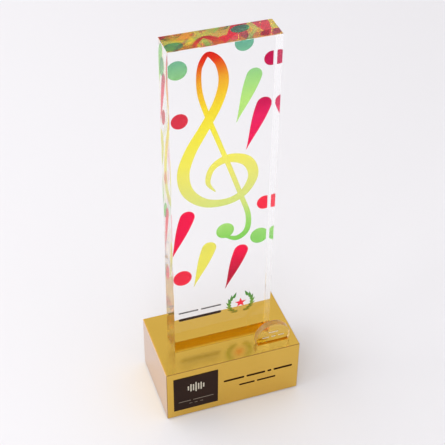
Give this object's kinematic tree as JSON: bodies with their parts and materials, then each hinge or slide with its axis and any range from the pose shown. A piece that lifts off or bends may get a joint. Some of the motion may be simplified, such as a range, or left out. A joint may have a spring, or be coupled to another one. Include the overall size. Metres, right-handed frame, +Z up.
{
  "type": "column trophy",
  "caption": "Clear acrylic column standing in a gold metal block, with a colour print on its back, a small clear disc beside it and a dark plate on the block's front.",
  "frame": {"origin": "centre of the underside, on the surface that the trophy stands on", "axes": "+Z up along the column, -Y towards the front with the plate, +X to the right seen from the front"},
  "size_m": [0.1, 0.0604, 0.2894],
  "materials": {
    "gold_metal": "gold anodised and clear lacquered, softly polished",
    "rubber_mat": "dark rubber sheet with a fine grain",
    "clear_acrylic": "clear cast acrylic with polished faces",
    "clear_adhesive": "clear cured adhesive",
    "yellow_ink": "gloss print, fading from red at the top through yellow to green",
    "green_ink": "gloss print, teal at the top and light green lower down",
    "crimson_ink": "gloss print",
    "red_ink": "gloss print",
    "pale_yellow_ink": "gloss print",
    "leaf_ink": "gloss print, green fading to yellow",
    "grey_ink": "thin gloss print",
    "brown_ink": "thin gloss print",
    "cream_ink": "thin print on the plate",
    "dark_plate": "dark satin film"
  },
  "bodies": {
    "root": {"base_block": "gold_metal", "anti_slip_mat": "rubber_mat", "column_block": "clear_acrylic", "column_bond": "clear_adhesive", "award_disc": "clear_acrylic", "disc_bond": "clear_adhesive", "clef_print": "yellow_ink", "green_print": "green_ink", "crimson_print": "crimson_ink", "red_print": "red_ink", "yellow_print": "pale_yellow_ink", "caption_print_light": "grey_ink", "caption_print_bold": "brown_ink", "wreath_print": "leaf_ink", "star_print": "red_ink", "front_plate": "dark_plate", "plate_emblem": "cream_ink", "plate_caption": "grey_ink", "inscription_title": "brown_ink", "inscription_name": "brown_ink"}
  },
  "joints": []
}
